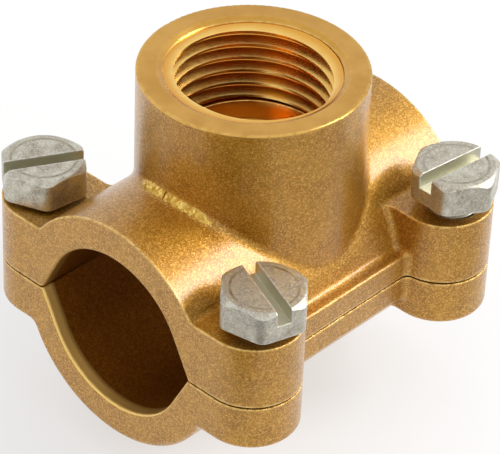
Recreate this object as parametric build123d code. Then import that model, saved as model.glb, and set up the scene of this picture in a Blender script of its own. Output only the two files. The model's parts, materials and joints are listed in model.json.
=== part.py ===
from build123d import *
from math import acos, cos, hypot, radians, sin, sqrt, tan
import os

# Tapping saddle for a metal pipe: two castings bolted round the pipe, the upper one
# with a threaded outlet. Millimetres. The pipe runs along X through the origin, the
# castings meet on the plane z = 0, and the outlet points up along Z.

# ---- Pipe and clamp ring -------------------------------------------------------------
pipe_diameter = 21.3  # outside diameter of the pipe that is held
casting_length = 44.9  # both castings, measured along the pipe
saddle_wall = 4.3  # metal round the pipe in the upper casting
strap_wall = 4.3  # metal round the pipe in the lower casting
split_gap = 0.3  # left open between the castings when they are bolted up
mouth_relief = 1.35  # how far the bore opens past the pipe where the castings meet
mouth_rounding = 0.4  # broken edge at both ends of the bore

# ---- Bolting lugs and the flanges between them ---------------------------------------
lug_diameter = 11.9  # the rounded outer end of a lug, seen from above
lug_edge_distance = 4.55  # from a screw's axis to the outer end of its lug
upper_lug_height = 8.45  # above the middle of the split
lower_lug_height = 6.1  # below the middle of the split
upper_flange_thickness = 3.15
lower_flange_thickness = 3.3
casting_blend = 1.0  # cast radius in the inner corners of lugs, flanges and ring
lug_foot_rounding = 0.7  # cast bottom edge of the lower lugs, and of the ring between them
flange_rounding = 0.35  # outer edge of a flange

# ---- Outlet boss (G 1/2 parallel pipe thread) ----------------------------------------
boss_wall = 3.2  # metal round the thread
boss_rise = 11.65  # from the top of the ring to the rim
boss_blend = 1.25  # cast radius where the boss grows out of the ring
rim_rounding = 0.25  # outer edge of the turned rim
thread_major_diameter = 20.955
thread_length = 11.0  # down from the rim
thread_depth = 1.03  # on the radius, from the major diameter to the plain bore below
floor_thickness = 1.25  # metal between the plain bore and the seal
lead_in_width = 0.72  # on the radius, at the rim
lead_in_angle = 120.0  # between opposite sides of the lead-in cone
outlet_diameter = 12.0  # the hole from the plain bore to the pipe

# ---- Seal ----------------------------------------------------------------------------
seal_outer_diameter = 17.0
seal_thickness = 1.0  # squeezed between the saddle and the pipe
seal_clearance = 0.1  # round the seal's outer edge and round the outlet hole

# ---- Screws: M6 slotted hexagon head -------------------------------------------------
screw_diameter = 5.9
screw_length = 16.0  # under the head
screw_point = 0.7  # chamfer at the tip
head_across_flats = 9.7
head_height = 3.9
head_top_diameter = 9.3  # the flat inside the chamfer
head_chamfer_angle = 35.0
head_corner_rounding = 1.5
slot_width = 1.8
slot_depth = 1.9
head_ring_gap = 0.5  # between the corners of the lowest head and the ring
clearance_hole_gap = 0.35  # on the radius, through the upper lugs
tapped_hole_gap = 0.05  # on the radius, through the lower lugs

# One row for each screw: name, side along X, side along Y, how far the head stands off
# its lug, the angle of the hexagon and of the slot about Z, and how far the slot lies
# off the middle of the head.
screws = (
    ("screw_front_right", -1, -1, 1.25, 42.0, 68.0, -0.3),
    ("screw_back_right", 1, -1, 1.75, 28.0, -7.0, 0.0),
    ("screw_front_left", -1, 1, 0.5, 52.0, -29.0, -0.5),
    ("screw_back_left", 1, 1, 0.95, 15.0, 50.0, 0.1),
)

# ---- Worked out from the sizes above -------------------------------------------------
pipe_radius = pipe_diameter / 2
half_length = casting_length / 2
thread_radius = thread_major_diameter / 2
boss_radius = thread_radius + boss_wall
saddle_radius = max(pipe_radius + saddle_wall, boss_radius + boss_blend / 2)
strap_radius = pipe_radius + strap_wall
hexagon_corner = (head_across_flats / 2 - head_corner_rounding) / cos(radians(30))
head_turning_radius = hexagon_corner + head_corner_rounding
lowest_head = upper_lug_height + min(row[3] for row in screws)
ring_beside_head = sqrt(saddle_radius**2 - lowest_head**2)
lug_radius = lug_diameter / 2
lug_x = half_length - lug_radius
lug_inner_x = lug_x - lug_radius
screw_x = lug_x
screw_y = ring_beside_head + head_ring_gap + head_turning_radius
lug_y = screw_y + lug_edge_distance - lug_radius
boss_height = saddle_radius + boss_rise
ring_beside_lug = sqrt(saddle_radius**2 - upper_lug_height**2)
lug_to_boss = hypot(lug_inner_x, ring_beside_lug) - boss_radius
corner_radius = min(casting_blend, lug_to_boss / 2)
boss_foot_radius = min(boss_blend, lug_to_boss / 2, saddle_radius - boss_radius)
seal_radius = seal_outer_diameter / 2
near = 0.01  # how close to a surface a point has to be to count as on it


def pipe_cylinder(radius):
    """Solid cylinder along the pipe, as long as the castings and centred on them."""
    return extrude(Plane.YZ * Circle(radius), half_length, both=True)


def upright_cylinder(radius, foot, top, x=0, y=0):
    """Solid cylinder along Z between two heights."""
    return extrude(Pos(x, y, foot) * Circle(radius), top - foot)


# ---- The outside of a casting, modelled above the split ------------------------------
def half_ring(radius):
    """The half ring that lies on the pipe, still solid."""
    outline = Circle(radius) & Pos(0, radius / 2) * Rectangle(2 * radius, radius)
    return extrude(Plane.YZ * outline, half_length, both=True)


def lug_plan():
    """The four lugs from above: straight out from the ring, rounded at the outer end."""
    lug = Rectangle(lug_diameter, 2 * lug_y)
    lug += Pos(0, lug_y) * Circle(lug_radius) + Pos(0, -lug_y) * Circle(lug_radius)
    return Pos(-lug_x, 0) * lug + Pos(lug_x, 0) * lug


def flange_bar(thickness):
    """Both flanges in one, with the outer top edges broken."""
    section = Pos(0, thickness / 2) * Rectangle(2 * lug_y, thickness)
    tops = [corner for corner in section.vertices() if corner.Y > thickness - near]
    return extrude(Plane.YZ * fillet(tops, flange_rounding), lug_x, both=True)


def inner_corners(casting, ring_radius, flange_thickness):
    """Edges where lugs and flanges rise from the ring, and lugs from the flanges."""
    edges = []
    for edge in casting.edges():
        middle = edge.position_at(0.5)
        on_ring = abs(hypot(middle.Y, middle.Z) - ring_radius) < near
        on_lug_side = abs(abs(middle.X) - lug_inner_x) < near
        on_flange = middle.Z < flange_thickness + near and abs(middle.Y) < lug_y + near
        inside = middle.Z > near and abs(middle.X) < half_length - near
        if inside and (on_ring or (on_lug_side and on_flange)):
            edges.append(edge)
    return edges


def outer_edges(casting, height, reach):
    """Edges at one height whose two ends lie at least so far from the pipe axis."""
    return [
        edge
        for edge in casting.edges()
        if all(abs(edge.position_at(t).Z - height) < near for t in (0, 0.5, 1))
        and all(abs(edge.position_at(t).Y) > reach - near for t in (0, 0.5, 1))
    ]


def casting_outside(ring_radius, lug_height, flange_thickness):
    """Ring, lugs and flanges of one casting, with their cast inner corners."""
    casting = half_ring(ring_radius) + extrude(lug_plan(), lug_height)
    casting += flange_bar(flange_thickness)
    return fillet(inner_corners(casting, ring_radius, flange_thickness), corner_radius)


# ---- Bores ---------------------------------------------------------------------------
def pipe_bore():
    """The pipe's own cylinder, with flat sides that open tangent to it at the split."""
    corner = pipe_radius + mouth_relief
    turn = acos(pipe_radius / corner)
    touch_y = pipe_radius * cos(turn)
    touch_z = pipe_radius * sin(turn)
    upper_touch = [(touch_y, touch_z), (-touch_y, touch_z)]
    lower_touch = [(-touch_y, -touch_z), (touch_y, -touch_z)]
    flare = Polygon((corner, 0), *upper_touch, (-corner, 0), *lower_touch, align=None)
    return extrude(Plane.YZ * (Circle(pipe_radius) + flare), half_length, both=True)


def mouth_edges(casting):
    """Edges of the pipe bore at both ends of a casting."""
    widest = pipe_radius + mouth_relief + near
    return [
        edge
        for edge in casting.edges()
        if abs(abs(edge.center().X) - half_length) < near
        and all(hypot(edge.position_at(t).Y, edge.position_at(t).Z) < widest for t in (0, 0.5, 1))
        and abs(edge.center().Z) > near
    ]


def outlet_bores():
    """Lead-in, threaded length, plain bore and the smaller hole into the pipe."""
    floor = pipe_radius + seal_thickness + floor_thickness
    lead_in = lead_in_width / tan(radians(lead_in_angle / 2))
    cone = Cone(thread_radius, thread_radius + lead_in_width, lead_in)
    bores = upright_cylinder(thread_radius, boss_height - thread_length, boss_height)
    bores += upright_cylinder(thread_radius - thread_depth, floor, boss_height)
    bores += upright_cylinder(outlet_diameter / 2, 0, boss_height)
    return bores + Pos(0, 0, boss_height - lead_in / 2) * cone


def screw_holes(gap, foot, top):
    """Four upright holes for the screws, between two heights."""
    holes = Part()
    for _, side_x, side_y, *_ in screws:
        holes += upright_cylinder(screw_diameter / 2 + gap, foot, top, side_x * screw_x, side_y * screw_y)
    return holes


def split():
    """The open space between the castings, as a slab wider than both."""
    return Box(2 * casting_length, 4 * lug_y, split_gap)


def seal_seat(radius):
    """Disc round the outlet, between the pipe's surface and the floor of the recess."""
    disc = upright_cylinder(radius, 0, saddle_radius)
    return disc & pipe_cylinder(pipe_radius + seal_thickness)


def boss_foot(casting):
    """The curve along which the boss meets the ring and the flanges."""
    edges = []
    for edge in casting.edges():
        middle = edge.position_at(0.5)
        on_boss = abs(hypot(middle.X, middle.Y) - boss_radius) < near
        seam = edge.geom_type == GeomType.LINE
        if on_boss and not seam and near < middle.Z < boss_height - near:
            edges.append(edge)
    return edges


# ---- The pieces ----------------------------------------------------------------------
def saddle_body():
    """Upper casting: half ring, lugs, flanges and the threaded outlet boss."""
    casting = casting_outside(saddle_radius, upper_lug_height, upper_flange_thickness)
    casting += upright_cylinder(boss_radius, upper_flange_thickness, boss_height)
    casting = fillet(boss_foot(casting), boss_foot_radius)
    rim = [edge for edge in casting.edges() if abs(edge.position_at(0.5).Z - boss_height) < near]
    casting = fillet(rim, rim_rounding)
    casting -= pipe_bore()
    casting = fillet(mouth_edges(casting), mouth_rounding)
    casting -= outlet_bores()
    casting -= seal_seat(seal_radius + seal_clearance)
    return casting - screw_holes(clearance_hole_gap, 0, upper_lug_height) - split()


def clamp_strap():
    """Lower casting: half ring, lugs and flanges, with tapped holes for the screws."""
    casting = casting_outside(strap_radius, lower_lug_height, lower_flange_thickness)
    casting = fillet(outer_edges(casting, lower_lug_height, lug_y), lug_foot_rounding)
    casting -= pipe_bore()
    casting = fillet(mouth_edges(casting), mouth_rounding)
    casting -= screw_holes(tapped_hole_gap, 0, lower_lug_height)
    return mirror(casting - split(), Plane.XY)


def outlet_seal():
    """Curved rubber ring round the outlet, between the saddle and the pipe."""
    ring = seal_seat(seal_radius) - pipe_cylinder(pipe_radius)
    return ring - upright_cylinder(outlet_diameter / 2 + seal_clearance, 0, saddle_radius)


def slotted_screw(hexagon_angle, slot_angle, slot_offset):
    """M6 screw standing on its head's seat, with its shank along -Z."""
    outline = RegularPolygon(head_across_flats / 2, 6, major_radius=False)
    outline = Rot(0, 0, hexagon_angle) * fillet(outline.vertices(), head_corner_rounding)
    top_radius = head_top_diameter / 2
    foot_radius = top_radius + head_height / tan(radians(head_chamfer_angle))
    head = extrude(outline, head_height)
    head &= Pos(0, 0, head_height / 2) * Cone(foot_radius, top_radius, head_height)
    slot = Box(2 * head_across_flats, slot_width, slot_depth)
    head -= Pos(0, 0, head_height - slot_depth / 2) * Rot(0, 0, slot_angle) * Pos(0, slot_offset) * slot
    shank = upright_cylinder(screw_diameter / 2, -screw_length, 0)
    tip = shank.edges().filter_by(GeomType.CIRCLE).sort_by(Axis.Z)[0]
    return head + chamfer(tip, screw_point)


def main():
    pieces = {
        "saddle_body": saddle_body(),
        "clamp_strap": clamp_strap(),
        "outlet_seal": outlet_seal(),
    }
    for name, side_x, side_y, stand_off, *turns_and_offset in screws:
        seat = Pos(side_x * screw_x, side_y * screw_y, upper_lug_height + stand_off)
        pieces[name] = seat * slotted_screw(*turns_and_offset)
    os.makedirs("parts", exist_ok=True)
    for name, piece in pieces.items():
        export_step(piece, os.path.join("parts", name + ".step"))


if __name__ == "__main__":
    main()
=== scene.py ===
# Looks of the tapping saddle. Metres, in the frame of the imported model: the pipe runs
# along X, the castings meet at z = 0 and the threaded outlet points up along Z.

import json
from math import atan2, ceil, cos, hypot, pi, radians, sin, sqrt, tan

import bmesh
import bpy
from mathutils import Matrix, Vector, noise


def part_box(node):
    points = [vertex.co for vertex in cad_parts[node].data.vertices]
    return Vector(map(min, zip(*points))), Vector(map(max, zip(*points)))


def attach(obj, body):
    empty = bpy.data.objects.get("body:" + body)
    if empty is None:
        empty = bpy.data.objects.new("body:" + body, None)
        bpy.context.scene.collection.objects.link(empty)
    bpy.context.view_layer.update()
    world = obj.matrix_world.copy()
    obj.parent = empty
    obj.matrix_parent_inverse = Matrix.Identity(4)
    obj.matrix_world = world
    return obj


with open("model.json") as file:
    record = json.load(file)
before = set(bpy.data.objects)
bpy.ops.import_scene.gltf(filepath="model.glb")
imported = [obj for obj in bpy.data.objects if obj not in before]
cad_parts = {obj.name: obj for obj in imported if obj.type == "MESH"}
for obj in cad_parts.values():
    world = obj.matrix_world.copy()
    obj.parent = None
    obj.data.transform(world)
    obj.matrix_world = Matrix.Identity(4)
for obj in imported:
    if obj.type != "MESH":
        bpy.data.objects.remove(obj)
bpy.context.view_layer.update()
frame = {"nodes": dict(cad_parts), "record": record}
mounts = {mount["name"]: mount for mount in frame["record"]["mounts"]}
MM = 0.001

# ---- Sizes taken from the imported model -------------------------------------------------
pipe_radius = mounts["pipe_clamp"]["dims"]["r_mm"] * MM
ring_radius = -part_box("clamp_strap")[0][2]
half_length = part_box("saddle_body")[1][0]
rim_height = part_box("saddle_body")[1][2]
major_radius = mounts["outlet_thread"]["dims"]["r_mm"] * MM
thread_middle = mounts["outlet_thread"]["pos_m"][2]
thread_half = mounts["outlet_thread"]["dims"]["length_mm"] * MM / 2

# ---- Outlet thread ---------------------------------------------------------------------
THREAD_PITCH = 1.814 * MM  # G 1/2
THREAD_DEPTH = 0.6403 * THREAD_PITCH
THREAD_ROUNDING = 0.1373 * THREAD_PITCH
ROOT_TO_APEX = 0.16 * THREAD_PITCH  # from a rounded root to where its flanks would meet
FLANK_ANGLE = radians(27.5)
ROOT_BEARINGS = (0, 22, 44, 62.5)  # degrees round half a root; the flank starts at the last
CREST_SUPPORT = 0.05 * MM  # a line of vertices this far from the crest keeps it crisp
CREST_HEIGHT = 25.46 * MM  # a crest's height on the side of the outlet that faces +X +Y
CREST_BEARING = radians(42)
TURN_STEPS = 120
MERGE_DISTANCE = 0.01 * MM
SUNK = 0.1 * MM  # how deep the ends of the thread sink into the wall
THREAD_CREASE = radians(35)

# ---- Filed flash at the boss's foot ----------------------------------------------------
BOSS_WALL = 3.2 * MM
FLASH_SECTION = (  # millimetres out from the boss and up from the ring
    (-0.3, 0.97),
    (0.1, 0.94),
    (0.36, 0.76),
    (0.6, 0.5),
    (0.78, 0.24),
    (0.84, 0.03),
    (0.8, -0.3),
    (-0.3, -0.3),
)
FLASH_RUNS = ((160, 178.6, 50), (179.8, 205.5, 90))  # bearings in degrees, and steps
FIRST_SHARE = 0.7  # of the full section that the first end has
FIRST_TAPER = radians(6)
LAST_TAPER = radians(7)
TEAR, TEAR_SPREAD, TEAR_GRAIN = 0.3, 0.6, 0.5 * MM  # what the last end has lost
FACE_RIPPLE, FACE_GRAIN = 0.09 * MM, 0.35 * MM
TOP_RIPPLE, TOP_GRAIN = 0.05 * MM, 0.6 * MM
TOP_SHIFT = Vector((7, 0, 0))  # takes the top's noise from another place than the tear's
FLASH_CREASE = radians(40)

# ---- Extent of each finish, and of painted shade and light -----------------------------
BORE_SKIN = 1.45 * MM  # the bore's painted shade reaches this far outside the pipe
END_FACE = 0.05 * MM  # the end faces are cast, not bore
# Where the painted light on the bore's mouth starts, and where it is full.
MOUTH_START, MOUTH_FULL = 1.9 * MM, 1.2 * MM  # from the end face
RIM_DEPTH = 0.3 * MM
OUTLET_SKIN = 0.9 * MM  # the turned finish reaches this far outside the thread
OUTLET_FLOOR = 0.8 * ring_radius
SCREW_PITCH = 1.0 * MM  # M6
SCREW_RADIUS = 3.0 * MM
SCREW_GROOVE = 1.1  # how much deeper than a plain zigzag the relief of the thread is
SCREW_GRAIN = 0.012 * MM  # how deep the relief of the zinc is
HEAD_HEIGHT = 3.9 * MM
HEAD_SKIN = 0.02 * MM
TOP_SKIN = 0.06 * MM
FORGED_RING = 3.9 * MM  # radius of the faint line on a head
SLOT_HALF_WIDTH = 0.92 * MM
SLOT_TOP, SLOT_FLOOR = 0.08 * MM, 1.95 * MM  # below the top of the head

# How each screw's slot is turned about the screw's axis, and how far it is off the axis.
SLOTS = {
    "screw_front_right": (radians(68), -0.3 * MM),
    "screw_back_right": (radians(-7), 0.0),
    "screw_front_left": (radians(-29), -0.5 * MM),
    "screw_back_left": (radians(50), 0.1 * MM),
}

# ---- Colours, linear -------------------------------------------------------------------
RUDDY, GOLDEN, OLIVE = (0.37, 0.15, 0.004, 1), (0.50, 0.235, 0.01, 1), (0.34, 0.18, 0.012, 1)
CAST_FLECK = (0.74, 0.40, 0.075, 1)
# Painted shade for the casting's corners, where the piece hides its own surroundings.
CAST_CORNER_SHADE = (0.22, 0.08, 0.008, 1)
# Rubbed edges: bright from wear, and brighter still as a painted highlight.
CAST_EDGE = (0.90, 0.58, 0.17, 1)
# Painted shade: the pipe bore is coloured dark, as little light reaches in.
BORE, BORE_FLECK = (0.22, 0.068, 0.004, 1), (0.37, 0.15, 0.013, 1)
# Painted light on the bore's mouth, as far in as light reaches.
BORE_MOUTH = (1.0, 0.68, 0.20, 1)
TURNED, TURNED_PATCH = (0.58, 0.30, 0.045, 1), (0.68, 0.37, 0.07, 1)
# Turned edges, rubbed bright and given a painted highlight.
TURNED_EDGE = (0.95, 0.66, 0.22, 1)
FILED, FILED_PATCH = (0.60, 0.32, 0.035, 1), (0.88, 0.54, 0.10, 1)
FILED_SHADE, FILED_FLECK = (0.38, 0.17, 0.012, 1), (1.0, 0.74, 0.22, 1)
# Painted shade in the thread's roots, which the crests hide from the light.
THREAD_ROOT_SHADE = (0.80, 0.40, 0.06, 1)
THREAD_CREST, THREAD_CREST_PATCH = (0.93, 0.57, 0.14, 1), (0.98, 0.66, 0.20, 1)
ZINC, ZINC_PATCH = (0.36, 0.31, 0.26, 1), (0.64, 0.62, 0.52, 1)
ZINC_STAIN, ZINC_FLECK = (0.42, 0.38, 0.22, 1), (0.76, 0.73, 0.66, 1)
# The second colour on the next line is painted light: lighter than the head's top, so the
# slot's recess does not go dark.
ZINC_LINE, ZINC_SLOT_LIGHT = (0.26, 0.22, 0.15, 1), (0.63, 0.61, 0.48, 1)
# Rubbed zinc edges, with a painted highlight.
ZINC_EDGE = (0.88, 0.86, 0.80, 1)
RUBBER, RUBBER_PATCH = (0.018, 0.018, 0.018, 1), (0.034, 0.033, 0.031, 1)

# ---- Gloss: how rough each finish is, and how much clear film lies on it ---------------
CAST_ROUGH, CAST_FLECK_ROUGH, CAST_EDGE_ROUGH, CAST_FILM = 0.5, 0.36, 0.27, 0.9
BORE_ROUGH, BORE_MOUTH_ROUGH, BORE_FILM = 0.55, 0.46, 0.0
TURNED_ROUGH, TURNED_FILM = 0.27, 0.35
FILED_ROUGH, FILED_FLECK_ROUGH, FILED_FILM = 0.48, 0.34, 0.1
THREAD_ROUGH, THREAD_FLECK_ROUGH, THREAD_FILM = 0.26, 0.2, 0.3
ZINC_ROUGH, ZINC_PATCH_ROUGH, ZINC_FILM = 0.54, 0.40, 0.5
RUBBER_ROUGH, RUBBER_FLECK_ROUGH = 0.75, 0.6
BRONZE_FILM_ROUGH, ZINC_FILM_ROUGH = 0.24, 0.35

# ---- Studio and camera -----------------------------------------------------------------
FLOOR_HEIGHT = -ring_radius - 5.05 * MM  # the strap drops by 5 mm and stays above it
FLOOR_RADIUS = 8.0
FLOOR_SHADE = 0.4
FLOOR_GLOW = 0.53
SKY_SHADE = 0.9
KEY_PLACE, KEY_SIZE, KEY_WATTS = (0.36, -0.34, 0.345), 0.26, 2.3
DARK_PLACE = (-0.1020, -0.0560, FLOOR_HEIGHT + 0.2 * MM)
DARK_RADIUS = 0.06
DARK_SHADE = 0.03
GREY_PLACE = (0.085, -0.288, FLOOR_HEIGHT + 0.1 * MM)
GREY_RADIUS = 0.25
GREY_SHADE = 0.48
CAMERA_AZIMUTH, CAMERA_ELEVATION, CAMERA_ROLL = radians(-47.92), radians(36.87), radians(2.407)
CAMERA_TARGET = Vector((0.463, 0, 3.477)) * MM
CAMERA_DISTANCE = 363.4 * MM
SENSOR_WIDTH, FOCAL_LENGTH = 36.0, 218.4  # millimetres, as the camera asks


# ---- Shader building -------------------------------------------------------------------
def node(tree, kind, inputs=None, **settings):
    """Adds a shader node. Each input takes a value, or the socket that feeds it."""
    made = tree.nodes.new(kind)
    for name, value in settings.items():
        setattr(made, name, value)
    for name, value in (inputs or {}).items():
        if isinstance(value, bpy.types.NodeSocket):
            tree.links.new(value, made.inputs[name])
        else:
            made.inputs[name].default_value = value
    return made


def maths(tree, operation, first, second=0.0, third=0.0):
    """One step of arithmetic between sockets or numbers."""
    inputs = {0: first, 1: second, 2: third}
    return node(tree, "ShaderNodeMath", inputs, operation=operation).outputs[0]


def remap(tree, value, low, high, new_low=0.0, new_high=1.0):
    """Stretches low..high to new_low..new_high and holds it there."""
    inputs = {
        "Value": value,
        "From Min": low,
        "From Max": high,
        "To Min": new_low,
        "To Max": new_high,
    }
    return node(tree, "ShaderNodeMapRange", inputs).outputs[0]


def all_of(tree, *masks):
    """Mask of what lies in every one of some masks."""
    whole = masks[0]
    for mask in masks[1:]:
        whole = maths(tree, "MULTIPLY", whole, mask)
    return whole


def part_of(tree, mask, share):
    """A mask at a share of its strength."""
    return maths(tree, "MULTIPLY", mask, share)


def mixed(tree, factor, first, second, kind="RGBA"):
    """Blend between two colours, or between two of another kind of value."""
    low, high, out = {"FLOAT": (2, 3, 0), "VECTOR": (4, 5, 1), "RGBA": (6, 7, 2)}[kind]
    inputs = {"Factor": factor, low: first, high: second}
    return node(tree, "ShaderNodeMix", inputs, data_type=kind).outputs[out]


def blended(tree, factor, first, second):
    """Number between two numbers."""
    return mixed(tree, factor, first, second, kind="FLOAT")


def clouds(tree, place, scale, **more):
    """Noise between 0 and 1."""
    inputs = {"Vector": place, "Scale": scale, **more}
    return node(tree, "ShaderNodeTexNoise", inputs).outputs["Fac"]


def bumped(tree, height, strength, distance, **more):
    """Normal of a surface with some relief."""
    inputs = {"Height": height, "Strength": strength, "Distance": distance, **more}
    return node(tree, "ShaderNodeBump", inputs).outputs[0]


def in_object(tree):
    """Place on the piece, which moves with it."""
    return node(tree, "ShaderNodeTexCoord").outputs["Object"]


def parts_of(tree, vector):
    """The X, Y and Z of a vector."""
    return node(tree, "ShaderNodeSeparateXYZ", {0: vector}).outputs


def length_of(tree, **parts):
    """Length of the vector that has these parts and zero for the rest."""
    vector = node(tree, "ShaderNodeCombineXYZ", parts).outputs[0]
    return node(tree, "ShaderNodeVectorMath", {0: vector}, operation="LENGTH").outputs["Value"]


def occlusion(tree, distance, inside=False):
    """How open the piece's own surface is over a distance, outside or inside the metal."""
    return node(
        tree,
        "ShaderNodeAmbientOcclusion",
        {"Distance": distance},
        samples=8,
        inside=inside,
        only_local=True,
    ).outputs["AO"]


def new_group(name, ins, outs):
    """An empty shader group with named float inputs, and outputs of a named kind."""
    tree = bpy.data.node_groups.new(name, "ShaderNodeTree")
    for socket, value in ins.items():
        made = tree.interface.new_socket(socket, in_out="INPUT", socket_type="NodeSocketFloat")
        made.default_value = value
    for socket, kind in outs.items():
        tree.interface.new_socket(socket, in_out="OUTPUT", socket_type="NodeSocket" + kind)
    given = tree.nodes.new("NodeGroupInput").outputs
    return tree, given, tree.nodes.new("NodeGroupOutput").inputs


# ---- Shared effects --------------------------------------------------------------------
def blasted_grain():
    """Grain of a blasted and tumbled surface: its relief, fine flecks and wide patches."""
    tree, ins, outs = new_group(
        "blasted_grain",
        {"Grain": 0.25 * MM, "Patch": 4.0 * MM},
        {"Relief": "Float", "Fleck": "Float", "Tint": "Float", "Patches": "Float"},
    )
    place = in_object(tree)
    per_grain = maths(tree, "DIVIDE", 1.0, ins["Grain"])
    per_patch = maths(tree, "DIVIDE", 1.0, ins["Patch"])
    fine = clouds(tree, place, per_grain, Detail=3.0, Roughness=0.6)
    grains = node(
        tree, "ShaderNodeTexVoronoi", {"Vector": place, "Scale": per_grain}, feature="F1"
    ).outputs
    fleck = node(tree, "ShaderNodeSeparateColor", {0: grains["Color"]}).outputs[0]
    elsewhere = node(
        tree, "ShaderNodeMapping", {"Vector": place, "Location": (0.031, 0.007, 0.019)}
    ).outputs[0]
    tint = clouds(tree, elsewhere, maths(tree, "MULTIPLY", per_grain, 0.55), Detail=2.0)
    patches = clouds(tree, place, per_patch, Detail=3.0)
    relief = maths(tree, "MULTIPLY_ADD", grains["Distance"], 0.35, fine)
    tree.links.new(relief, outs["Relief"])
    tree.links.new(maths(tree, "MULTIPLY", fleck, fleck), outs["Fleck"])
    tree.links.new(remap(tree, tint, 0.38, 0.62), outs["Tint"])
    tree.links.new(remap(tree, patches, 0.35, 0.65), outs["Patches"])
    return tree


def worn_edge():
    """Rounds the edges for the light, says where edges are rubbed and painted bright, and
    where corners get painted shade.
    """
    tree, ins, outs = new_group(
        "worn_edge",
        {"Width": 0.4 * MM, "Breaks": 0.7 * MM, "Corner": 1.6 * MM},
        {"Worn": "Float", "Grime": "Float", "Rounded": "Vector"},
    )
    rounded = node(tree, "ShaderNodeBevel", {"Radius": ins["Width"]}, samples=8).outputs[0]
    per_break = maths(tree, "DIVIDE", 1.0, ins["Breaks"])
    breaks = clouds(tree, in_object(tree), per_break, Detail=3.0)
    unbroken = remap(tree, breaks, 0.36, 0.56, new_low=0.2)
    at_edge = remap(tree, occlusion(tree, ins["Width"], inside=True), 0.95, 0.68)
    # Painted shade: corners that the piece hides from its own surroundings.
    in_corner = remap(tree, occlusion(tree, ins["Corner"]), 0.75, 0.35)
    # Rubbed convex edges, broken up; the materials paint them bright, partly as a highlight.
    tree.links.new(maths(tree, "MULTIPLY", at_edge, unbroken), outs["Worn"])
    tree.links.new(in_corner, outs["Grime"])
    tree.links.new(rounded, outs["Rounded"])
    return tree


def lathe_marks():
    """Fine rings that a turning tool leaves round the outlet's axis."""
    tree, ins, outs = new_group(
        "lathe_marks", {"Feed": 0.12 * MM}, {"Rings": "Float", "Radius": "Float"}
    )
    x, y, z = parts_of(tree, in_object(tree))
    radius = length_of(tree, X=x, Y=y)
    cuts = maths(tree, "DIVIDE", maths(tree, "ADD", radius, z), ins["Feed"])
    wave = maths(tree, "SINE", maths(tree, "MULTIPLY", cuts, 2 * pi))
    tree.links.new(wave, outs["Rings"])
    tree.links.new(radius, outs["Radius"])
    return tree


GRAIN = blasted_grain()
EDGE = worn_edge()
LATHE = lathe_marks()


# ---- Materials -------------------------------------------------------------------------
def new_material(name):
    """A material with a Principled surface: the material, its tree and that surface."""
    material = bpy.data.materials.new(name)
    material.use_nodes = True
    tree = material.node_tree
    return material, tree, tree.nodes["Principled BSDF"]


def grouped(tree, group, **values):
    """Places a shader group, with its own values."""
    return node(tree, "ShaderNodeGroup", values, node_tree=group).outputs


def coated_metal(surface, film_roughness):
    """Metal under the thin clear film that oil, handling and age leave on it."""
    surface.inputs["Metallic"].default_value = 1.0
    surface.inputs["Coat Roughness"].default_value = film_roughness


def finish_surface(tree, surface, colour, roughness, normal):
    """Joins colour, roughness and normal to the surface."""
    tree.links.new(colour, surface.inputs["Base Color"])
    tree.links.new(roughness, surface.inputs["Roughness"])
    tree.links.new(normal, surface.inputs["Normal"])


def bronze_colour(tree, grain):
    """Ruddy cast bronze with olive and pale flecks."""
    body = mixed(tree, grain["Patches"], RUDDY, GOLDEN)
    tinted = mixed(tree, part_of(tree, grain["Tint"], share=0.6), body, OLIVE)
    return mixed(tree, grain["Fleck"], tinted, CAST_FLECK)


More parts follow.
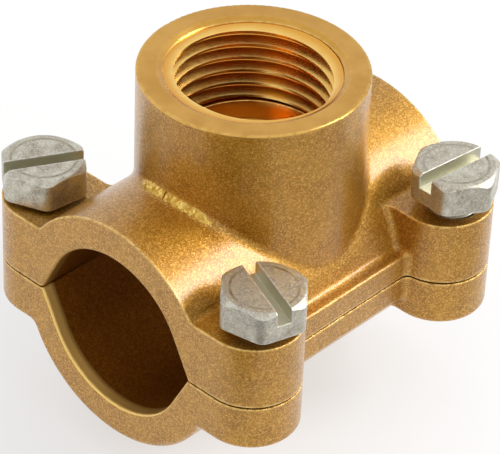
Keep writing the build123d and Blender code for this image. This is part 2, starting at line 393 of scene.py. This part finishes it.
def cast_bronze(name, lit_mouth, turned_above=None):
    """Blasted bronze with painted shade in the pipe bore and in corners, painted light at
    the bore's mouth, and rubbed edges that also carry a painted highlight.

    The second argument is how much painted light lies on the mouth of the pipe bore. Above
    turned_above, and in the outlet, the metal is turned.
    """
    material, tree, surface = new_material(name)
    grain = grouped(tree, GRAIN, Grain=0.16 * MM, Patch=3.2 * MM)
    edge = grouped(tree, EDGE, Width=0.35 * MM, Breaks=0.8 * MM)
    x, y, z = parts_of(tree, in_object(tree))

    # Painted shade darkens the corners.
    colour = mixed(tree, edge["Grime"], bronze_colour(tree, grain), CAST_CORNER_SHADE)
    # Rubbed edges, lighter from wear and from a painted highlight.
    colour = mixed(tree, edge["Worn"], colour, CAST_EDGE)
    roughness = blended(tree, grain["Fleck"], CAST_ROUGH, CAST_FLECK_ROUGH)
    roughness = blended(tree, edge["Worn"], roughness, CAST_EDGE_ROUGH)

    from_pipe = length_of(tree, Y=y, Z=z)
    along = maths(tree, "ABSOLUTE", x)
    in_bore = all_of(
        tree,
        maths(tree, "LESS_THAN", from_pipe, pipe_radius + BORE_SKIN),
        maths(tree, "LESS_THAN", along, half_length - END_FACE),
    )
    # Painted shade in the pipe bore, and a painted pool of light at its mouth.
    at_mouth = remap(tree, along, half_length - MOUTH_START, half_length - MOUTH_FULL)
    mouth = part_of(tree, at_mouth, lit_mouth)
    bore_colour = mixed(tree, grain["Fleck"], BORE, BORE_FLECK)
    bore_colour = mixed(tree, mouth, bore_colour, BORE_MOUTH)
    colour = mixed(tree, in_bore, colour, bore_colour)
    bore_roughness = blended(tree, mouth, BORE_ROUGH, BORE_MOUTH_ROUGH)
    roughness = blended(tree, in_bore, roughness, bore_roughness)
    deep_inside = all_of(tree, in_bore, maths(tree, "SUBTRACT", 1.0, mouth))
    film = blended(tree, deep_inside, CAST_FILM, BORE_FILM)

    rounded = edge["Rounded"]
    normal = bumped(tree, grain["Relief"], strength=0.9, distance=0.085 * MM, Normal=rounded)
    if turned_above is not None:
        lathe = grouped(tree, LATHE, Feed=0.14 * MM)
        in_outlet = all_of(
            tree,
            maths(tree, "LESS_THAN", lathe["Radius"], major_radius + OUTLET_SKIN),
            maths(tree, "GREATER_THAN", z, OUTLET_FLOOR),
        )
        on_rim = maths(tree, "GREATER_THAN", z, turned_above)
        turned = maths(tree, "MAXIMUM", on_rim, in_outlet)
        turned_colour = mixed(tree, grain["Patches"], TURNED, TURNED_PATCH)
        # Rubbed edges of the turned metal, with a painted highlight.
        turned_colour = mixed(tree, edge["Worn"], turned_colour, TURNED_EDGE)
        rings = bumped(tree, lathe["Rings"], strength=0.2, distance=0.003 * MM, Normal=rounded)
        colour = mixed(tree, turned, colour, turned_colour)
        roughness = blended(tree, turned, roughness, TURNED_ROUGH)
        normal = mixed(tree, turned, normal, rings, kind="VECTOR")
        film = blended(tree, turned, film, TURNED_FILM)
    tree.links.new(film, surface.inputs["Coat Weight"])
    coated_metal(surface, BRONZE_FILM_ROUGH)
    finish_surface(tree, surface, colour, roughness, normal)
    return material


def filed_bronze():
    """Freshly filed bronze, torn and bright."""
    material, tree, surface = new_material("filed_bronze")
    grain = grouped(tree, GRAIN, Grain=0.3 * MM, Patch=1.2 * MM)
    edge = grouped(tree, EDGE, Width=0.12 * MM, Breaks=0.4 * MM)
    colour = mixed(tree, grain["Patches"], FILED, FILED_PATCH)
    colour = mixed(tree, part_of(tree, grain["Tint"], share=0.7), colour, FILED_SHADE)
    colour = mixed(tree, grain["Fleck"], colour, FILED_FLECK)
    roughness = blended(tree, grain["Fleck"], FILED_ROUGH, FILED_FLECK_ROUGH)
    rounded = edge["Rounded"]
    normal = bumped(tree, grain["Relief"], strength=1.0, distance=0.12 * MM, Normal=rounded)
    surface.inputs["Coat Weight"].default_value = FILED_FILM
    coated_metal(surface, BRONZE_FILM_ROUGH)
    finish_surface(tree, surface, colour, roughness, normal)
    return material


def tapped_bronze():
    """Flanks of the cut thread: pale crests, and roots darkened with painted shade."""
    material, tree, surface = new_material("tapped_bronze")
    grain = grouped(tree, GRAIN, Grain=0.3 * MM, Patch=2.0 * MM)
    lathe = grouped(tree, LATHE, Feed=0.1 * MM)
    root = major_radius - 0.25 * THREAD_DEPTH
    crest = major_radius - 0.95 * THREAD_DEPTH
    crest_colour = mixed(tree, grain["Patches"], THREAD_CREST, THREAD_CREST_PATCH)
    # Painted shade: the roots are darker than the crests.
    on_crest = remap(tree, lathe["Radius"], root, crest)
    colour = mixed(tree, on_crest, THREAD_ROOT_SHADE, crest_colour)
    roughness = blended(tree, grain["Fleck"], THREAD_ROUGH, THREAD_FLECK_ROUGH)
    normal = bumped(tree, grain["Relief"], strength=0.2, distance=0.006 * MM)
    surface.inputs["Coat Weight"].default_value = THREAD_FILM
    coated_metal(surface, BRONZE_FILM_ROUGH)
    finish_surface(tree, surface, colour, roughness, normal)
    return material


def zinc_plate(screw, slot_turn, slot_offset):
    """Dull zinc on a forged screw: painted light in the slot, rubbed edges with a painted
    highlight, threaded below.
    """
    low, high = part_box(screw)
    top_middle = Vector(((low[0] + high[0]) / 2, (low[1] + high[1]) / 2, high[2]))
    material, tree, surface = new_material(screw + "_zinc")
    grain = grouped(tree, GRAIN, Grain=0.17 * MM, Patch=1.5 * MM)
    edge = grouped(tree, EDGE, Width=0.22 * MM, Breaks=0.6 * MM)
    on_axis = node(
        tree, "ShaderNodeMapping", {"Vector": in_object(tree), "Location": -top_middle}
    ).outputs[0]
    x, y, z = parts_of(tree, on_axis)
    radius = length_of(tree, X=x, Y=y)

    colour = mixed(tree, grain["Patches"], ZINC, ZINC_PATCH)
    colour = mixed(tree, part_of(tree, grain["Tint"], share=0.5), colour, ZINC_STAIN)
    colour = mixed(tree, part_of(tree, grain["Fleck"], share=0.7), colour, ZINC_FLECK)

    from_ring = maths(tree, "ABSOLUTE", maths(tree, "SUBTRACT", radius, FORGED_RING))
    forged_ring = all_of(
        tree,
        maths(tree, "GREATER_THAN", z, -TOP_SKIN),
        remap(tree, from_ring, 0.25 * MM, 0.05 * MM),
        grain["Patches"],
    )
    colour = mixed(tree, forged_ring, colour, ZINC_LINE)

    slot_frame = node(
        tree, "ShaderNodeMapping", {"Vector": on_axis, "Rotation": (0, 0, -slot_turn)}
    ).outputs[0]
    across_slot = maths(tree, "SUBTRACT", parts_of(tree, slot_frame)["Y"], slot_offset)
    in_slot = all_of(
        tree,
        maths(tree, "LESS_THAN", maths(tree, "ABSOLUTE", across_slot), SLOT_HALF_WIDTH),
        maths(tree, "LESS_THAN", z, -SLOT_TOP),
        maths(tree, "GREATER_THAN", z, -SLOT_FLOOR),
    )
    # Painted light inside the slot.
    colour = mixed(tree, in_slot, colour, ZINC_SLOT_LIGHT)
    # Rubbed edges, with a painted highlight.
    colour = mixed(tree, part_of(tree, edge["Worn"], share=0.7), colour, ZINC_EDGE)
    roughness = blended(tree, grain["Patches"], ZINC_ROUGH, ZINC_PATCH_ROUGH)

    turn = maths(tree, "ARCTAN2", y, x)
    rise = maths(tree, "MULTIPLY_ADD", turn, -SCREW_PITCH / (2 * pi), z)
    ridge = maths(tree, "PINGPONG", rise, SCREW_PITCH / 2)
    threads = all_of(
        tree,
        maths(tree, "LESS_THAN", z, -HEAD_HEIGHT - HEAD_SKIN),
        maths(tree, "LESS_THAN", radius, SCREW_RADIUS),
        ridge,
        SCREW_GROOVE,
    )
    relief = maths(tree, "MULTIPLY_ADD", grain["Relief"], SCREW_GRAIN, threads)
    normal = bumped(tree, relief, strength=0.9, distance=1.0, Normal=edge["Rounded"])
    surface.inputs["Coat Weight"].default_value = ZINC_FILM
    coated_metal(surface, ZINC_FILM_ROUGH)
    finish_surface(tree, surface, colour, roughness, normal)
    return material


def moulded_rubber():
    """Matt black seal."""
    material, tree, surface = new_material("moulded_rubber")
    grain = grouped(tree, GRAIN, Grain=0.15 * MM, Patch=2.0 * MM)
    colour = mixed(tree, grain["Patches"], RUBBER, RUBBER_PATCH)
    roughness = blended(tree, grain["Fleck"], RUBBER_ROUGH, RUBBER_FLECK_ROUGH)
    normal = bumped(tree, grain["Relief"], strength=0.2, distance=0.01 * MM)
    finish_surface(tree, surface, colour, roughness, normal)
    return material


# ---- Pieces ----------------------------------------------------------------------------
def linked(name, data):
    """A new object in the scene."""
    made = bpy.data.objects.new(name, data)
    bpy.context.scene.collection.objects.link(made)
    return made


def meshed(bm, name, material):
    """A mesh made of a bmesh, which it uses up."""
    mesh = bpy.data.meshes.new(name)
    bm.to_mesh(mesh)
    bm.free()
    mesh.materials.append(material)
    return mesh


def finished(bm, name, material, body, crease):
    """Makes a piece of a bmesh, smooth up to an angle, and puts it on its body."""
    mesh = meshed(bm, name, material)
    mesh.shade_smooth()
    mesh.set_sharp_from_angle(angle=crease)
    piece = linked(name, mesh)
    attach(piece, body)
    return piece


def refinish(cad_node, material):
    """Gives a CAD node its material."""
    slots = frame["nodes"][cad_node].data.materials
    slots.clear()
    slots.append(material)


def thread_profile():
    """One pitch of the wall as (radius, height), from the middle of a root to the next."""
    centre = major_radius - THREAD_ROUNDING
    half = []
    for bearing in ROOT_BEARINGS:
        turn = radians(bearing)
        half.append((centre + THREAD_ROUNDING * cos(turn), THREAD_ROUNDING * sin(turn)))
    crest = major_radius - THREAD_DEPTH
    apex = major_radius + ROOT_TO_APEX
    for radius in (crest + CREST_SUPPORT, crest):
        half.append((radius, (apex - radius) * tan(FLANK_ANGLE)))
    other = [(radius, THREAD_PITCH - height) for radius, height in reversed(half)]
    return half + other


def outlet_thread(material):
    """The ridges of the outlet's thread, as a sleeve sunk into the bore's wall."""
    foot, top = thread_middle - thread_half, thread_middle + thread_half
    turns = ceil((top - foot) / THREAD_PITCH) + 2
    rise_to_crest = THREAD_PITCH * CREST_BEARING / (2 * pi)
    root_height = CREST_HEIGHT - THREAD_PITCH / 2 - rise_to_crest
    start = root_height - ceil((root_height - foot) / THREAD_PITCH + 1) * THREAD_PITCH
    bm = bmesh.new()
    line = [bm.verts.new((radius, 0, start + height)) for radius, height in thread_profile()]
    for first, second in zip(line, line[1:]):
        bm.edges.new((first, second))
    bmesh.ops.spin(
        bm,
        geom=bm.verts[:] + bm.edges[:],
        cent=(0, 0, 0),
        axis=(0, 0, 1),
        dvec=(0, 0, THREAD_PITCH / TURN_STEPS),
        angle=2 * pi * turns,
        steps=TURN_STEPS * turns,
    )
    bmesh.ops.remove_doubles(bm, verts=bm.verts, dist=MERGE_DISTANCE)
    for height, up in ((foot, -1), (top, 1)):
        bmesh.ops.bisect_plane(
            bm,
            geom=bm.verts[:] + bm.edges[:] + bm.faces[:],
            plane_co=(0, 0, height),
            plane_no=(0, 0, up),
            clear_outer=True,
        )
    open_edges = [edge for edge in bm.edges if edge.is_boundary]
    rings = bmesh.ops.extrude_edge_only(bm, edges=open_edges)["geom"]
    for vert in (item for item in rings if isinstance(item, bmesh.types.BMVert)):
        bearing = Vector((vert.co.x, vert.co.y, 0)).normalized()
        vert.co = bearing * (major_radius + SUNK) + Vector((0, 0, vert.co.z))
    ring_edges = [item for item in rings if isinstance(item, bmesh.types.BMEdge)]
    bmesh.ops.bridge_loops(bm, edges=[edge for edge in ring_edges if edge.is_boundary])
    bmesh.ops.recalc_face_normals(bm, faces=bm.faces)
    return finished(bm, "outlet_thread", material, "saddle", THREAD_CREASE)


def filed_flash(material):
    """What is left of the flash at the boss's foot, filed flat and torn across."""
    boss_radius = major_radius + BOSS_WALL
    bm = bmesh.new()
    for first, last, steps in FLASH_RUNS:
        section = [
            bm.verts.new((boss_radius + out * MM, 0, up * MM)) for out, up in FLASH_SECTION
        ]
        face = bm.faces.new(section)
        turn = Matrix.Rotation(radians(first), 3, "Z")
        bmesh.ops.rotate(bm, verts=section, cent=(0, 0, 0), matrix=turn)
        bmesh.ops.spin(
            bm,
            geom=[face],
            cent=(0, 0, 0),
            axis=(0, 0, 1),
            dvec=(0, 0, 0),
            angle=radians(last - first),
            steps=steps,
        )
    bmesh.ops.holes_fill(bm, edges=bm.edges, sides=0)
    first_end, last_end = radians(FLASH_RUNS[0][0]), radians(FLASH_RUNS[-1][1])
    for vert in bm.verts:
        bearing = atan2(vert.co.y, vert.co.x) % (2 * pi)
        out = hypot(vert.co.x, vert.co.y) - boss_radius
        whole = max(0.0, min(1.0, (last_end - bearing) / LAST_TAPER))
        lost = TEAR + TEAR_SPREAD * noise.noise(vert.co / TEAR_GRAIN)
        share = 1 - (1 - whole) * lost
        grown = min(1.0, (bearing - first_end) / FIRST_TAPER)
        share *= FIRST_SHARE + (1 - FIRST_SHARE) * grown
        if out > 0:
            out = out * share + FACE_RIPPLE * noise.noise(vert.co / FACE_GRAIN)
        flat = Vector((cos(bearing), sin(bearing), 0)) * (boss_radius + out)
        ring_height = sqrt(ring_radius**2 - flat.y**2)
        up = vert.co.z * (share if vert.co.z > 0 else 1)
        up += TOP_RIPPLE * noise.noise(vert.co / TOP_GRAIN + TOP_SHIFT)
        vert.co = flat + Vector((0, 0, ring_height + up))
    bmesh.ops.recalc_face_normals(bm, faces=bm.faces)
    return finished(bm, "filed_flash", material, "saddle", FLASH_CREASE)


# ---- Studio ----------------------------------------------------------------------------
def matte(name, shade, roughness):
    """A grey material without gloss, its tree and its surface."""
    material, tree, surface = new_material(name)
    surface.inputs["Base Color"].default_value = (shade, shade, shade, 1)
    surface.inputs["Roughness"].default_value = roughness
    surface.inputs["Specular IOR Level"].default_value = 0.0
    return material, tree, surface


def disc(name, place, radius, segments, material):
    """A flat round sheet."""
    bm = bmesh.new()
    bmesh.ops.create_circle(bm, cap_ends=True, segments=segments, radius=radius)
    bmesh.ops.translate(bm, verts=bm.verts, vec=place)
    return linked(name, meshed(bm, name, material))


def pale_floor():
    """A floor that looks white, though it gives the object only a little light back."""
    material, tree, surface = matte("pale_floor", FLOOR_SHADE, 0.9)
    surface.inputs["Emission Color"].default_value = (1, 1, 1, 1)
    path = node(tree, "ShaderNodeLightPath").outputs
    seen = maths(tree, "MAXIMUM", path["Is Camera Ray"], path["Is Glossy Ray"])
    seen = maths(tree, "MAXIMUM", seen, path["Is Transmission Ray"])
    glow = maths(tree, "MULTIPLY", seen, FLOOR_GLOW)
    tree.links.new(glow, surface.inputs["Emission Strength"])
    floor = disc("floor", (0, 0, FLOOR_HEIGHT), FLOOR_RADIUS, 96, material)


def card(name, place, radius, shade):
    """A round card flat on the floor beside the view, which only the metal mirrors."""
    material, _, _ = matte(name + "_felt", shade, 1.0)
    piece = disc(name, place, radius, 64, material)
    piece.visible_camera = piece.visible_diffuse = piece.visible_shadow = False


def area_lamp(name, place, target, size, watts):
    """A square softbox that faces a target."""
    lamp = bpy.data.lights.new(name, "AREA")
    lamp.shape, lamp.size, lamp.energy = "SQUARE", size, watts
    holder = linked(name, lamp)
    holder.location = place
    towards = Vector(target) - Vector(place)
    holder.rotation_euler = towards.to_track_quat("-Z", "Y").to_euler()


def studio():
    """Pale floor, even surroundings, one soft lamp and two cards."""
    pale_floor()
    world = bpy.context.scene.world or bpy.data.worlds.new("studio")
    bpy.context.scene.world = world
    world.use_nodes = True
    sky = world.node_tree.nodes["Background"].inputs
    sky["Color"].default_value = (SKY_SHADE, SKY_SHADE, SKY_SHADE, 1)
    sky["Strength"].default_value = 1.0
    area_lamp("key_softbox", KEY_PLACE, (0, 0, 0), KEY_SIZE, KEY_WATTS)
    card("dark_card", DARK_PLACE, DARK_RADIUS, DARK_SHADE)
    card("grey_card", GREY_PLACE, GREY_RADIUS, GREY_SHADE)


def camera():
    """The camera: looks down on the saddle from in front of its left end."""
    flat = cos(CAMERA_ELEVATION)
    back = Vector(
        (sin(CAMERA_AZIMUTH) * flat, -cos(CAMERA_AZIMUTH) * flat, sin(CAMERA_ELEVATION))
    )
    level = Vector((cos(CAMERA_AZIMUTH), sin(CAMERA_AZIMUTH), 0))
    upright = back.cross(level)
    right = cos(CAMERA_ROLL) * level + sin(CAMERA_ROLL) * upright
    up = -sin(CAMERA_ROLL) * level + cos(CAMERA_ROLL) * upright
    lens = bpy.data.cameras.new("camera")
    lens.sensor_width = SENSOR_WIDTH
    lens.lens = FOCAL_LENGTH
    holder = linked("camera", lens)
    turn = Matrix((right, up, back)).transposed().to_4x4()
    place = Matrix.Translation(CAMERA_TARGET + back * CAMERA_DISTANCE)
    holder.matrix_world = place @ turn
    bpy.context.scene.camera = holder


# ---- The whole -------------------------------------------------------------------------
turned_above = rim_height - RIM_DEPTH
# How much painted light lies on each casting's bore mouth.
saddle_bronze = cast_bronze("saddle_bronze", lit_mouth=0.35, turned_above=turned_above)
refinish("saddle_body", saddle_bronze)
refinish("clamp_strap", cast_bronze("strap_bronze", lit_mouth=1.0))
refinish("outlet_seal", moulded_rubber())
for screw, (slot_turn, slot_offset) in SLOTS.items():
    refinish(screw, zinc_plate(screw, slot_turn, slot_offset))
outlet_thread(tapped_bronze())
filed_flash(filed_bronze())

camera()
studio()
bpy.context.scene.view_settings.view_transform = "Standard"
